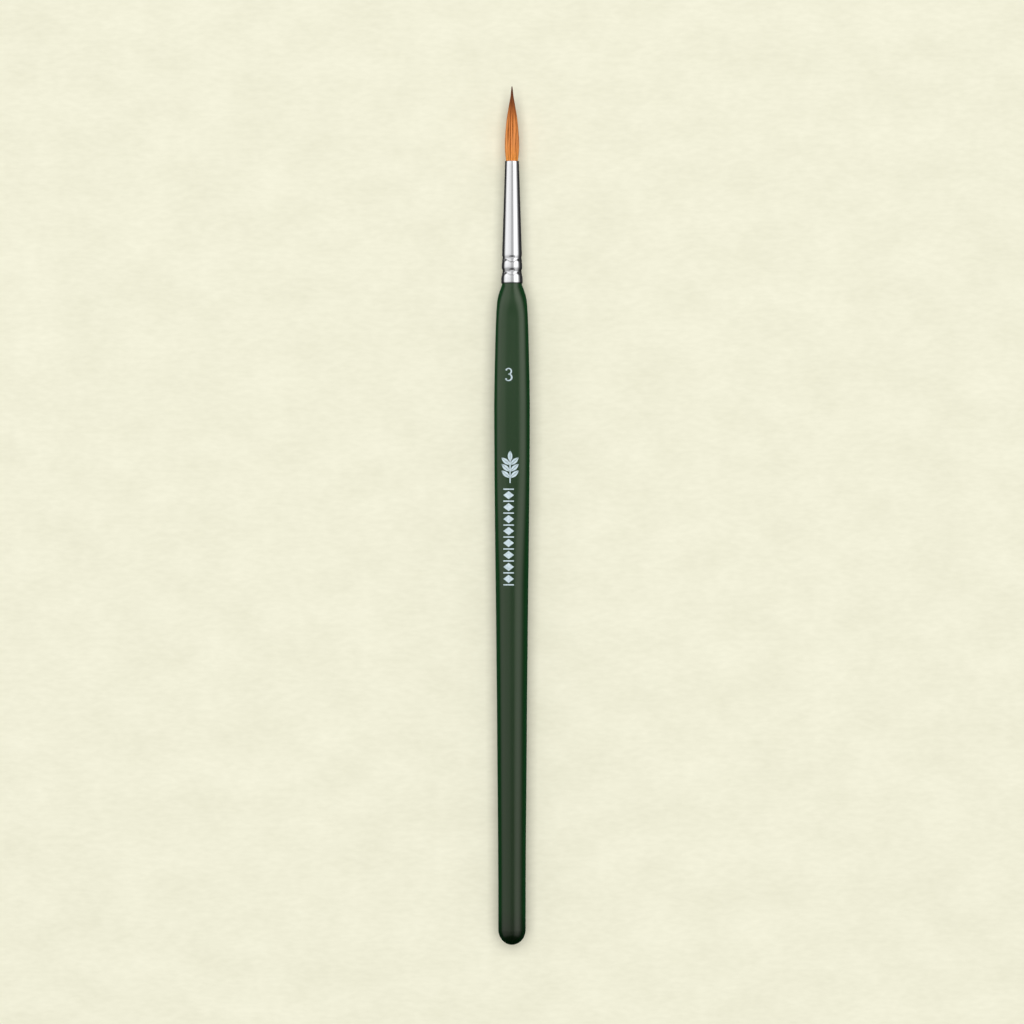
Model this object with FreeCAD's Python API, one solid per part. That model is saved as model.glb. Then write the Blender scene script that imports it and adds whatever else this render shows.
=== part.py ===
"""Fine detail brush, size three, with a three-sided grip. Millimetres.

The brush lies along Y with its tip towards +Y and the printed face of the grip up (+Z).
The origin is the bottom centre of its box. A place along the brush is given as its
station: the distance from the butt end of the handle.
"""
import FreeCAD
import Part
import math
import os

# Overall
LENGTH = 180.0

# Handle: half width seen from above at each station, from the dome to the neck
DOME_LENGTH = 3.2
DOME_RADIUS = 2.87
DOME_STEPS = 9
HANDLE_STATIONS = [
    (3.2, 2.87), (8.0, 2.875), (13.0, 2.88), (22.0, 2.93), (32.0, 3.015), (42.0, 3.09),
    (52.0, 3.175), (62.0, 3.275), (72.0, 3.38), (82.0, 3.51), (92.5, 3.615), (102.5, 3.70),
    (112.5, 3.735), (120.0, 3.64), (125.0, 3.53), (130.0, 3.39), (132.7, 3.27), (134.6, 3.13),
    (135.9, 2.92), (136.9, 2.63), (137.7, 2.34), (138.2, 2.14), (138.7, 2.04), (139.4, 2.04),
]
NECK_END = 139.4

# Grip: the section swells and flattens three times round, round in the tail and at the neck
LOBE = 0.10
LOBE_STARTS, LOBE_FULL = 72.0, 104.0
LOBE_FADES, LOBE_ENDS = 131.0, 137.7
FACE_ANGLE = 90.0
SECTION_POINTS = 36
SEAM_TURN = 175.0

# Coats on the wood, and the foil stamped on them
LACQUER = 0.10
PRIMER = 0.06
FOIL = 0.03

# Ferrule: a tapered tube with two rolled crimps, open at both ends
WALL = 0.20
FERRULE_START = 138.6
BAND_END = 140.2
BAND_RADIUS = 2.26
CRIMPS = [
    (140.2, 2.26), (140.6, 2.12), (141.0, 2.01), (141.5, 2.08), (142.15, 2.16),
    (142.9, 2.11), (143.7, 2.03), (144.3, 2.055), (144.9, 2.065),
]
MOUTH, MOUTH_RADIUS = 164.3, 1.45
RIM = 0.07

# Tenon: the bare end of the handle, glued in the ferrule and gripped by its crimps
TENON_STATIONS = [
    (140.1, 1.88), (140.6, 1.82), (141.0, 1.76), (141.5, 1.80), (142.15, 1.87),
    (142.9, 1.84), (143.7, 1.78), (144.3, 1.79), (145.5, 1.77), (147.0, 1.72), (147.5, 1.60),
]
GLUE_END = 147.0

# Hair: one bundle, tied at its root, filling the ferrule and running to a point
ROOT_STATIONS = [(149.6, 1.32), (151.6, 1.28), (153.6, 1.34), (156.0, 1.41), (158.5, None)]
TUFT_STATIONS = [
    (164.3, 1.25), (164.7, 1.28), (165.8, 1.41), (167.5, 1.49), (169.4, 1.43), (171.3, 1.29),
    (173.2, 1.09), (174.4, 0.91), (175.7, 0.69), (177.0, 0.47), (178.0, 0.30), (179.0, 0.17),
    (180.0, 0.04),
]

# Flex: the tuft is cut by two balls, one round each place where it bends
BELLY_PIVOT, BELLY_BALL = 166.8, 2.10
TIP_PIVOT, TIP_BALL = 172.8, 1.70
FLEX_GAP = 0.08

# Resin at the root of the hair, and the thread that ties it
RESIN_START, RESIN_END = 148.8, 156.0
THREAD_RADIUS = 0.10
THREAD_TURNS = 5
THREAD_PITCH = 0.22
THREAD_START = 151.1

# Marks stamped on the printed face
SIZE_MARK_AT = (-0.69, 119.5)
UPPER_BOWL, UPPER_RADIUS, UPPER_OPENS = 0.66, 0.70, (150, 262)
LOWER_BOWL, LOWER_RADIUS, LOWER_OPENS = -0.60, 0.80, (98, 204)
UPPER_END, LOWER_END = (-0.66, 0.48), (-0.68, -0.46)
COUNTER = 0.72
COUNTER_SHIFT = 0.13
TERMINAL_RADIUS = 0.19
LEAF_MARK_AT = (-0.4, 100.2)
LEAF_PAIRS = 3
LEAF_LENGTH, LEAF_WIDTH = 2.4, 0.95
LEAF_SPREAD = 48.0
LEAF_FIRST, LEAF_PITCH = 1.025, 1.35
STEM_LENGTH, STEM_WIDTH = 6.8, 0.24
STEM_INTO_LEAF = 0.34
BORDER_FROM, BORDER_TO = 75.5, 95.5
BORDER_X = -0.7
BORDER_HALF = 1.10
BAR_HALF = 0.13
LOZENGE_SHARE = 0.34
BORDER_UNITS = 8


def spread(lobe):
    """Half width of a section of mean radius 1, seen square to one of its faces."""
    angles = [math.radians(a) for a in range(0, 91)]
    return max((1 + lobe * math.cos(3 * (a - math.pi / 3))) * math.sin(a) for a in angles)


AXIS_HEIGHT = max(r for _, r in HANDLE_STATIONS) / spread(LOBE) * (1 + LOBE)


def at(station):
    return station - LENGTH / 2


def smooth(x):
    x = min(max(x, 0.0), 1.0)
    return x * x * (3 - 2 * x)


def lobe_at(station):
    rise = smooth((station - LOBE_STARTS) / (LOBE_FULL - LOBE_STARTS))
    fall = smooth((LOBE_ENDS - station) / (LOBE_ENDS - LOBE_FADES))
    return LOBE * rise * fall


def section(station, half_width, inset):
    """A closed curve round the handle: mean radius times 1 less lobe times cos of 3 turns.

    It starts and ends half a step beside the ridge that is opposite the printed face.
    """
    lobe = lobe_at(station)
    mean = half_width / spread(lobe)
    points = []
    for i in range(SECTION_POINTS):
        turn = math.radians(SEAM_TURN + i * 360.0 / SECTION_POINTS)
        angle = math.radians(FACE_ANGLE) + turn
        radius = mean * (1 - lobe * math.cos(3 * turn)) - inset
        x, z = radius * math.cos(angle), radius * math.sin(angle)
        points.append(FreeCAD.Vector(x, at(station), AXIS_HEIGHT + z))
    curve = Part.BSplineCurve()
    curve.interpolate(Points=points, PeriodicFlag=True)
    return Part.Wire([curve.toShape()])


def handle_solid(inset, tenon=()):
    """The handle from butt to neck, with its whole surface moved in by inset."""
    sections = [Part.Vertex(0, at(inset), AXIS_HEIGHT)]
    reach = DOME_LENGTH - inset
    for i in range(1, DOME_STEPS):
        angle = math.radians(90.0 * i / DOME_STEPS)
        station = DOME_LENGTH - reach * math.cos(angle)
        rounding = (DOME_RADIUS - inset) * math.sin(angle)
        sections.append(section(station, rounding, 0.0))
    sections += [section(station, half, inset) for station, half in HANDLE_STATIONS]
    sections += [section(station, radius, 0.0) for station, radius in tenon]
    return Part.makeLoft(sections, True, True)


def spline(profile):
    curve = Part.BSplineCurve()
    curve.interpolate([on_profile(s, r) for s, r in profile])
    return curve.toShape()


def on_profile(station, radius):
    return FreeCAD.Vector(radius, at(station), AXIS_HEIGHT)


def line(a, b):
    return Part.makeLine(on_profile(*a), on_profile(*b))


def turned(edges):
    """A solid of revolution about the brush's axis, from a closed run of edges."""
    face = Part.Face(Part.Wire(edges))
    return face.revolve(on_profile(0, 0), FreeCAD.Vector(0, 1, 0), 360)


def polygon_turned(points):
    return turned([line(a, b) for a, b in zip(points, points[1:] + points[:1])])


def ferrule_radius(station):
    """Outer radius of the straight taper, ahead of the crimps."""
    start, radius = CRIMPS[-1]
    return radius + (MOUTH_RADIUS - radius) * (station - start) / (MOUTH - start)


def bore_radius(station):
    return ferrule_radius(station) - WALL


def ball(pivot, radius):
    """All that lies behind a pivot, with a ball round it: what stays put when the tuft bends."""
    back = Part.makeCylinder(
        radius, pivot, on_profile(0, 0), FreeCAD.Vector(0, 1, 0)
    )
    return back.fuse(Part.makeSphere(radius, on_profile(pivot, 0)))


def ferrule():
    crimps_outside = spline(CRIMPS)
    crimps_inside = spline([(s, r - WALL) for s, r in CRIMPS])
    last, last_radius = CRIMPS[-1]
    inside = BAND_RADIUS - WALL
    outer = [
        line((FERRULE_START, inside + RIM), (FERRULE_START, BAND_RADIUS - RIM)),
        line((FERRULE_START, BAND_RADIUS - RIM), (FERRULE_START + RIM, BAND_RADIUS)),
        line((FERRULE_START + RIM, BAND_RADIUS), (BAND_END, BAND_RADIUS)),
        crimps_outside,
        line((last, last_radius), (MOUTH - RIM, ferrule_radius(MOUTH - RIM))),
        line((MOUTH - RIM, ferrule_radius(MOUTH - RIM)), (MOUTH, MOUTH_RADIUS - RIM)),
    ]
    inner = [
        line((MOUTH, MOUTH_RADIUS - RIM), (MOUTH, MOUTH_RADIUS - WALL)),
        line((MOUTH, MOUTH_RADIUS - WALL), (last, last_radius - WALL)),
        crimps_inside,
        line((BAND_END, inside), (FERRULE_START + RIM, inside)),
        line((FERRULE_START + RIM, inside), (FERRULE_START, inside + RIM)),
    ]
    return turned(outer + inner)


def tenon_glue(wood):
    """The glue that fills the space between the tenon and the ferrule."""
    last, last_radius = CRIMPS[-1]
    inside = BAND_RADIUS - WALL
    edges = [
        line((NECK_END, 0), (NECK_END, inside)),
        line((NECK_END, inside), (BAND_END, inside)),
        spline([(s, r - WALL) for s, r in CRIMPS]),
        line((last, last_radius - WALL), (GLUE_END, bore_radius(GLUE_END))),
        line((GLUE_END, bore_radius(GLUE_END)), (GLUE_END, 0)),
        line((GLUE_END, 0), (NECK_END, 0)),
    ]
    return turned(edges).cut(wood)


def thread():
    """Turns of thread tied tight round the root of the hair, side by side."""
    waist = min(r for _, r in ROOT_STATIONS[:3])
    rings = []
    for i in range(THREAD_TURNS):
        centre = on_profile(THREAD_START + i * THREAD_PITCH, 0)
        rings.append(Part.makeTorus(waist, THREAD_RADIUS, centre, FreeCAD.Vector(0, 1, 0)))
    return Part.makeCompound(rings)


def hair_bundle():
    """All the hair as one solid, from its root in the resin to its tip."""
    root = [(s, bore_radius(s) if r is None else r) for s, r in ROOT_STATIONS]
    first, tip = root[0], TUFT_STATIONS[-1]
    edges = [
        line((first[0], 0), first),
        spline(root),
        line(root[-1], TUFT_STATIONS[0]),
        spline(TUFT_STATIONS),
        line(tip, (tip[0], 0)),
        line((tip[0], 0), (first[0], 0)),
    ]
    return turned(edges)


def resin_plug(hair, ties):
    """Resin poured behind the hair, up round its root and over the thread."""
    block = polygon_turned([
        (RESIN_START, 0),
        (RESIN_START, bore_radius(RESIN_START)),
        (RESIN_END, bore_radius(RESIN_END)),
        (RESIN_END, 0),
    ])
    return block.cut(hair).cut(ties)


def stamped(film, faces):
    """Foil on the lacquer: what lies above each flat face in a film round the whole handle."""
    punches = [face.extrude(FreeCAD.Vector(0, 0, 2 * AXIS_HEIGHT)) for face in faces]
    block = punches[0].multiFuse(punches[1:]).removeSplitter()
    return Part.makeCompound([s for punch in block.Solids for s in punch.common(film).Solids])


def flat_point(x, station):
    return FreeCAD.Vector(x, at(station), AXIS_HEIGHT)


def polygon(points):
    corners = [flat_point(x, station) for x, station in points]
    return Part.Face(Part.makePolygon(corners + corners[:1]))


def disc(x, station, radius):
    return Part.Face(Part.Wire(Part.makeCircle(radius, flat_point(x, station))))


def lozenge(x, station, half_x, half_y):
    return polygon([
        (x - half_x, station),
        (x, station - half_y),
        (x + half_x, station),
        (x, station + half_y),
    ])


def bar(x, station, half_x, half_y):
    return polygon([
        (x - half_x, station - half_y),
        (x + half_x, station - half_y),
        (x + half_x, station + half_y),
        (x - half_x, station + half_y),
    ])


def leaf(x, station, angle):
    """A pointed leaf of two arcs, from its base, turned by angle from the brush's axis."""
    along = FreeCAD.Vector(math.sin(angle), math.cos(angle), 0)
    across = FreeCAD.Vector(math.cos(angle), -math.sin(angle), 0)
    base = flat_point(x, station)
    point = base + along * LEAF_LENGTH
    middle = base + along * (LEAF_LENGTH / 2)
    left = Part.Arc(base, middle - across * (LEAF_WIDTH / 2), point).toShape()
    right = Part.Arc(point, middle + across * (LEAF_WIDTH / 2), base).toShape()
    return Part.Face(Part.Wire([left, right]))


def bowl(x, station, radius, opens, end):
    """Half of a numeral: a crescent, thick at the right and open at the left, and a round end."""
    crescent = disc(x, station, radius).cut(
        disc(x - COUNTER_SHIFT * radius, station, COUNTER * radius)
    )
    corners = [(x, station)]
    for angle in (opens[0], sum(opens) / 2, opens[1]):
        turn = math.radians(angle)
        corners.append((x + 2 * radius * math.cos(turn), station + 2 * radius * math.sin(turn)))
    terminal = disc(x + end[0] * radius, station + end[1] * radius, TERMINAL_RADIUS)
    return [crescent.cut(polygon(corners)), terminal]


def size_mark(film):
    """The numeral three: an upper and a lower bowl."""
    x, station = SIZE_MARK_AT
    upper = bowl(x, station + UPPER_BOWL, UPPER_RADIUS, UPPER_OPENS, UPPER_END)
    lower = bowl(x, station + LOWER_BOWL, LOWER_RADIUS, LOWER_OPENS, LOWER_END)
    return stamped(film, upper + lower)


def leaf_mark(film):
    """A sprig: a stem with leaves in pairs and one at its head."""
    x, station = LEAF_MARK_AT
    foot = station - STEM_LENGTH / 2
    stem = STEM_LENGTH - LEAF_LENGTH + STEM_INTO_LEAF
    shapes = [bar(x, foot + stem / 2, STEM_WIDTH / 2, stem / 2)]
    for i in range(LEAF_PAIRS):
        base = foot + LEAF_FIRST + i * LEAF_PITCH
        for side in (-1, 1):
            shapes.append(leaf(x, base, side * math.radians(LEAF_SPREAD)))
    shapes.append(leaf(x, foot + STEM_LENGTH - LEAF_LENGTH, 0.0))
    return stamped(film, shapes)


def border_mark(film):
    """A border of lozenges with a bar between each two, along the handle."""
    pitch = (BORDER_TO - BORDER_FROM) / BORDER_UNITS
    shapes = []
    for i in range(BORDER_UNITS):
        station = BORDER_FROM + (i + 0.5) * pitch
        shapes.append(lozenge(BORDER_X, station, BORDER_HALF, LOZENGE_SHARE * pitch))
    for i in range(BORDER_UNITS + 1):
        shapes.append(bar(BORDER_X, BORDER_FROM + i * pitch, BORDER_HALF, BAR_HALF))
    return stamped(film, shapes)


def export(name, shape):
    shape.exportStep(f"parts/{name}.step")
    print(f"{name:15s} solids {len(shape.Solids)} valid {shape.isValid()} {shape.Volume:.3f} mm3")


def main():
    os.makedirs("parts", exist_ok=True)
    wood = handle_solid(LACQUER + PRIMER, TENON_STATIONS)
    primed = handle_solid(LACQUER)
    lacquered = handle_solid(0.0)
    hair = hair_bundle()
    ties = thread()
    behind_belly = ball(BELLY_PIVOT, BELLY_BALL)
    behind_belly_gap = ball(BELLY_PIVOT, BELLY_BALL + FLEX_GAP)
    behind_tip = ball(TIP_PIVOT, TIP_BALL)
    behind_tip_gap = ball(TIP_PIVOT, TIP_BALL + FLEX_GAP)
    export("handle_core", wood)
    export("primer_coat", primed.cut(wood))
    export("lacquer_coat", lacquered.cut(primed))
    export("ferrule", ferrule())
    export("tenon_glue", tenon_glue(wood))
    export("resin_plug", resin_plug(hair, ties))
    export("binding_thread", ties)
    export("hair_base", hair.common(behind_belly).cut(ties))
    export("hair_belly", hair.cut(behind_belly_gap).common(behind_tip))
    export("hair_tip", hair.cut(behind_tip_gap))
    film = handle_solid(-FOIL).cut(lacquered)
    export("size_mark", size_mark(film))
    export("leaf_mark", leaf_mark(film))
    export("border_mark", border_mark(film))


main()
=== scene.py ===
# %% [markdown]
# # A fine detail brush
# A round brush for painting models: a lacquered wooden handle, a drawn metal ferrule
# and a tuft of hair that comes to a point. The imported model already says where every
# part is. This lesson gives each part the surface and the finish of the real one.

import bmesh
import bpy
import numpy as np
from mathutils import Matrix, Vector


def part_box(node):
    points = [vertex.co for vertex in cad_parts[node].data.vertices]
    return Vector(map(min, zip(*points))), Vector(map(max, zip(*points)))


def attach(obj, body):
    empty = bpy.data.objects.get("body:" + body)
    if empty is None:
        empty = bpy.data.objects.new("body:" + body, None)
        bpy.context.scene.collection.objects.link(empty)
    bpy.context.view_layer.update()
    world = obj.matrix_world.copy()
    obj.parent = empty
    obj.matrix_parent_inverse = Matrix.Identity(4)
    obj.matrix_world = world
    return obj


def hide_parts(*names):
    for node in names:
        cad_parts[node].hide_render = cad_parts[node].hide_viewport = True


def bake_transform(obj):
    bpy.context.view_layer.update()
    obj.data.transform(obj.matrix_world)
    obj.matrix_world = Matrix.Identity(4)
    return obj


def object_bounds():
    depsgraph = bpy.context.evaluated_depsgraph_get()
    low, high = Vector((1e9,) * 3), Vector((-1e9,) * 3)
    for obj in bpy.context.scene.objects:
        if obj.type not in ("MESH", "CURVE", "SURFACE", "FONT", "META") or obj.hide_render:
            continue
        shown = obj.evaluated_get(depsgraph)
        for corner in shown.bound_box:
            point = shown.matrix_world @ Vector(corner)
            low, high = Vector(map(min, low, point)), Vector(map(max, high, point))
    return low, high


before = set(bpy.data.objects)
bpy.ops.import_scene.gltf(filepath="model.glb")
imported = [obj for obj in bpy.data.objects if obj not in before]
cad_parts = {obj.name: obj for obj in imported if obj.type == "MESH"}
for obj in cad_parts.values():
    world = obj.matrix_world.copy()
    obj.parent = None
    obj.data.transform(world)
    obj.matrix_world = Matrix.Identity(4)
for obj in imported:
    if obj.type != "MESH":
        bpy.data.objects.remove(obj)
cad_low, cad_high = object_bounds()
print("nodes:", sorted(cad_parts))

# %% [markdown]
# ## The brush's own line
# Everything on a brush is arranged round one line, from the butt of the handle to the
# tip of the hair. A maker measures along it, so each place here is a station: the
# millimetres from the butt. Across and up are millimetres from the line itself, and
# a turn is an angle round it, counted from the printed face.

# %% Stations, turns and places
MM = 0.001
FULL_TURN = 2 * np.pi

lacquer_low, lacquer_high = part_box("lacquer_coat")
ferrule_low, ferrule_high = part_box("ferrule")
BUTT_Y = lacquer_low[1]
LINE_X = (ferrule_low[0] + ferrule_high[0]) / 2
LINE_Z = (ferrule_low[2] + ferrule_high[2]) / 2


def place(across, station, up):
    """A point of the frame, in metres, from its millimetres across, along and up."""
    across, station, up = np.broadcast_arrays(across, station, up)
    return np.stack(
        [LINE_X + across * MM, BUTT_Y + station * MM, LINE_Z + up * MM], axis=-1
    )


def around(radius, station, turn):
    """A point at a radius from the line: across is radius times sine of turn, up times cosine."""
    return place(radius * np.sin(turn), station, radius * np.cos(turn))


def turns(count):
    """Evenly spaced turns, the last one short of closing the ring."""
    return np.arange(count) * FULL_TURN / count


def station_of(y):
    """The station of a y in the frame."""
    return (y - BUTT_Y) / MM


NECK_END = station_of(lacquer_high[1])
REAR_RIM = station_of(ferrule_low[1])
MOUTH = station_of(ferrule_high[1])
TIP = station_of(cad_high[1])
print(f"neck {NECK_END:.2f}, rear rim {REAR_RIM:.2f}, mouth {MOUTH:.2f}, tip {TIP:.2f} mm")

# %% [markdown]
# ## Curves and skins
# A turned outline needs a curve that goes through the measured points without the
# waves that an ordinary spline adds between them. A skin is a grid of points with a
# face between each four neighbours, rolled into a ring or closed at its ends. Almost
# every piece of the brush is one of these, so both helpers come first.

# %% A curve that doesn't overshoot
def flowing(points, at):
    """A value for each place, on a curve through all the points.

    On each span it is a cubic. Its slope at a point is the harmonic mean of the
    slopes on both sides, and level where those have opposite signs.
    """
    x, y = np.array(points, float).T
    step = np.diff(x)
    slope = np.diff(y) / step
    before, after = slope[:-1], slope[1:]
    same_way = before * after > 0
    mean = 2 * before * after / np.where(same_way, before + after, 1)
    tangent = np.concatenate([slope[:1], np.where(same_way, mean, 0), slope[-1:]])
    i = np.clip(np.searchsorted(x, at) - 1, 0, len(step) - 1)
    t = np.clip((at - x[i]) / step[i], 0, 1)
    rise = t * t * (3 - 2 * t)
    return (
        y[i] * (1 - rise)
        + y[i + 1] * rise
        + step[i] * (tangent[i] * t * (1 - t) ** 2 - tangent[i + 1] * t * t * (1 - t))
    )


def eased(x):
    """0 below 0, 1 above 1, and a smooth rise between: 3 x squared less 2 x cubed."""
    x = np.clip(x, 0, 1)
    return x * x * (3 - 2 * x)


def hump(x):
    """A soft bump: e to the minus x squared."""
    return np.exp(-x * x)


print("between 0, 1 and 1:", flowing([(0, 0), (1, 1), (2, 1)], np.array([0.5, 1.5])))

# %% [markdown]
# ### From a grid to a closed skin
# A modeller could place faces by hand, but each piece here is a formula over rows and
# columns. One helper turns such a grid into a mesh, merges the points of a pole and
# turns the faces outwards, so that every piece comes out closed.

# %% A skin over a grid of points
SHARP = np.radians(80)


def skin(name, points, ring=True, loop=False, caps=True, values=None):
    """One mesh from grids of points: an array of copies, rows, columns and x, y, z.

    ring joins the last column to the first, loop joins the last row to the first, and
    caps closes the first and last row with one face each. Points that fall together,
    as at a pole, are merged, and every closed part is turned to face outwards.
    """
    rows, columns = points.shape[-3:-1]
    index = np.arange(points.size // 3).reshape(-1, rows, columns)
    first, last = index[:, 0, ::-1], index[:, -1]
    if ring:
        index = np.concatenate([index, index[:, :, :1]], axis=2)
    if loop:
        index = np.concatenate([index, index[:, :1]], axis=1)
    corners = [index[:, :-1, :-1], index[:, :-1, 1:], index[:, 1:, 1:], index[:, 1:, :-1]]
    faces = np.stack(corners, axis=-1).reshape(-1, 4).tolist()
    if caps and not loop:
        faces += first.tolist() + last.tolist()
    mesh = bpy.data.meshes.new(name)
    mesh.from_pydata(points.reshape(-1, 3).tolist(), [], faces)
    for label, value in (values or {}).items():
        attribute = mesh.attributes.new(label, "FLOAT", "POINT")
        whole = np.broadcast_to(value, points.shape[:-1])
        attribute.data.foreach_set("value", whole.astype(np.float32).ravel())
    return finished(name, mesh)


def finished(name, mesh):
    """An object at the origin: doubles merged, faces outwards, smooth but for cut ends."""
    shape = bmesh.new()
    shape.from_mesh(mesh)
    bmesh.ops.remove_doubles(shape, verts=shape.verts, dist=1e-8)
    bmesh.ops.recalc_face_normals(shape, faces=shape.faces)
    shape.to_mesh(mesh)
    shape.free()
    mesh.shade_smooth()
    mesh.set_sharp_from_angle(angle=SHARP)
    piece = bpy.data.objects.new(name, mesh)
    bpy.context.scene.collection.objects.link(piece)
    print(f"{name}: {len(mesh.vertices)} points, {len(mesh.polygons)} faces")
    return piece


# %% [markdown]
# ## Helpers for finishes
# A finish is a tree of nodes. Most of its work is slow variation, fine grain and a few
# specks, whatever the material, so those are node groups that every finish places with
# its own scale. The shader itself stays in each material, and a value that is the same
# all over is set on the shader's own socket.

# %% Nodes in one line each
def add(tree, kind, inputs=None, **settings):
    """A new node. An input given a socket is linked to it, any other is set."""
    node = tree.nodes.new(kind)
    for name, value in settings.items():
        setattr(node, name, value)
    for name, value in (inputs or {}).items():
        if isinstance(value, bpy.types.NodeSocket):
            tree.links.new(value, node.inputs[name])
        else:
            node.inputs[name].default_value = value
    return node


def calculate(tree, operation, *numbers):
    """A math node with its inputs in order."""
    inputs = dict(enumerate(numbers))
    return add(tree, "ShaderNodeMath", inputs, operation=operation).outputs[0]


def between(tree, factor, low, high):
    """Goes from one colour to another as the factor goes from 0 to 1."""
    node = add(tree, "ShaderNodeMix", data_type="RGBA")
    for socket, value in zip((node.inputs[0], node.inputs[6], node.inputs[7]), (factor, low, high)):
        if isinstance(value, bpy.types.NodeSocket):
            tree.links.new(value, socket)
        else:
            socket.default_value = value if isinstance(value, float) else (*value, 1.0)
    return node.outputs[2]


def stretch(tree, value, low, high, to_low, to_high):
    """Maps one range to another and holds it there."""
    inputs = {
        "Value": value,
        "From Min": low, "From Max": high,
        "To Min": to_low, "To Max": to_high,
    }
    return add(tree, "ShaderNodeMapRange", inputs, clamp=True).outputs[0]


def ramp(tree, factor, stops):
    """A colour for each factor, from (place, colour) stops."""
    node = add(tree, "ShaderNodeValToRGB", {"Fac": factor})
    while len(node.color_ramp.elements) < len(stops):
        node.color_ramp.elements.new(0.5)
    for element, (where, colour) in zip(node.color_ramp.elements, stops):
        element.position = where
        element.color = (*colour, 1.0)
    return node.outputs["Color"]


def raised(tree, height, distance, onto=None):
    """Turns a height into a normal, over another normal if one is given."""
    inputs = {"Height": height, "Distance": distance, "Strength": 1.0}
    if onto is not None:
        inputs["Normal"] = onto
    return add(tree, "ShaderNodeBump", inputs).outputs["Normal"]


# %% [markdown]
# ### Grain and specks
# Wood, metal, lacquer and paper all need noise that is longer one way than the other,
# and spots far apart: dust, pores, pits or bubbles. Each is one group with its scale as
# an input, so every finish can place it at its own size.

# %% The shared groups: grain and specks
def new_group(name, inputs, output):
    """An empty group with float or vector inputs and one float output."""
    group = bpy.data.node_groups.new(name, "ShaderNodeTree")
    for label, kind, value in inputs:
        socket = group.interface.new_socket(label, in_out="INPUT", socket_type=kind)
        socket.default_value = value
    group.interface.new_socket(output, in_out="OUTPUT", socket_type="NodeSocketFloat")
    return group, add(group, "NodeGroupInput").outputs, add(group, "NodeGroupOutput").inputs


def grain_group():
    """Noise on Object coordinates, stretched by Stretch, with Scale in features a metre."""
    group, given, result = new_group("grain", [
        ("Scale", "NodeSocketFloat", 500.0),
        ("Stretch", "NodeSocketVector", (1.0, 1.0, 1.0)),
        ("Detail", "NodeSocketFloat", 3.0),
    ], "Value")
    spot = add(group, "ShaderNodeTexCoord").outputs["Object"]
    spot = add(group, "ShaderNodeVectorMath", {0: spot, 1: given["Stretch"]}, operation="MULTIPLY")
    noise = add(group, "ShaderNodeTexNoise", {
        "Vector": spot.outputs[0], "Scale": given["Scale"], "Detail": given["Detail"],
    })
    group.links.new(noise.outputs["Fac"], result["Value"])
    return group


def specks_group():
    """1 in small round spots and 0 between: near a cell's point, in the few cells drawn."""
    group, given, result = new_group("specks", [
        ("Scale", "NodeSocketFloat", 500.0),
        ("Size", "NodeSocketFloat", 0.2),
        ("Share", "NodeSocketFloat", 0.1),
    ], "Mask")
    spot = add(group, "ShaderNodeTexCoord").outputs["Object"]
    cells = add(group, "ShaderNodeTexVoronoi", {"Vector": spot, "Scale": given["Scale"]})
    near = calculate(group, "SUBTRACT", given["Size"], cells.outputs["Distance"])
    near = calculate(group, "DIVIDE", near, given["Size"])
    near = calculate(group, "MAXIMUM", near, 0.0)
    drawn = add(group, "ShaderNodeSeparateColor", {"Color": cells.outputs["Color"]}).outputs[0]
    drawn = calculate(group, "LESS_THAN", drawn, given["Share"])
    group.links.new(calculate(group, "MULTIPLY", near, drawn), result["Mask"])
    return group


GRAIN, SPECKS = grain_group(), specks_group()


def placed(tree, group, inputs):
    """A group node in a material, with its inputs set."""
    node = add(tree, "ShaderNodeGroup", node_tree=group)
    for name, value in inputs.items():
        node.inputs[name].default_value = value
    return node.outputs[0]


def grained(tree, scale, along=(1.0, 1.0, 1.0), detail=3.0):
    """Noise from 0 to 1, most of it between 0.3 and 0.7."""
    return placed(tree, GRAIN, {"Scale": scale, "Stretch": along, "Detail": detail})


def specked(tree, scale, size, share):
    """Spots of a size, in cells, in a share of the cells."""
    return placed(tree, SPECKS, {"Scale": scale, "Size": size, "Share": share})


def finish(name, **sockets):
    """A material with one shader, whose even values are set on its own sockets."""
    material = bpy.data.materials.new(name)
    material.use_nodes = True
    shader = material.node_tree.nodes["Principled BSDF"]
    for label, value in sockets.items():
        shader.inputs[label.replace("_", " ")].default_value = value
    print("finish:", name)
    return material, material.node_tree, shader.inputs


def wire(tree, inputs, **sockets):
    """Links sockets into the shader, by the shader's own names."""
    for label, socket in sockets.items():
        tree.links.new(socket, inputs[label.replace("_", " ")])


# %% [markdown]
# ## The green lacquer
# The handle is dipped in dark green lacquer. Its colour is painted darker over the tail
# and nearly black at the butt: painted shade, where the tail and its dome turn from the
# light. It is glossy but not a mirror: it has a faint orange-peel skin and a few dust
# nibs. Everything pale on it is reflection, so the film is kept very dark. Towards its
# edges a facing weight mixes in a brighter green: a painted rim light.

# %% Lacquer
# painted shade: the darker film over the tail and the black share at the butt
LACQUER_SHADED_TAIL = (0.0017, 0.0130, 0.0011)
LACQUER_GRIP = (0.0045, 0.0300, 0.0060)
# painted rim light: the brighter green mixed in towards the edges
LACQUER_RIM_LIGHT = (0.0008, 0.0850, 0.0180)
TAIL_SHADE_OVER = (-0.095, 0.02)
BUTT_SHADE_OVER, BUTT_SHADE_LEVEL = (-0.0895, -0.0825), 0.22


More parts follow.
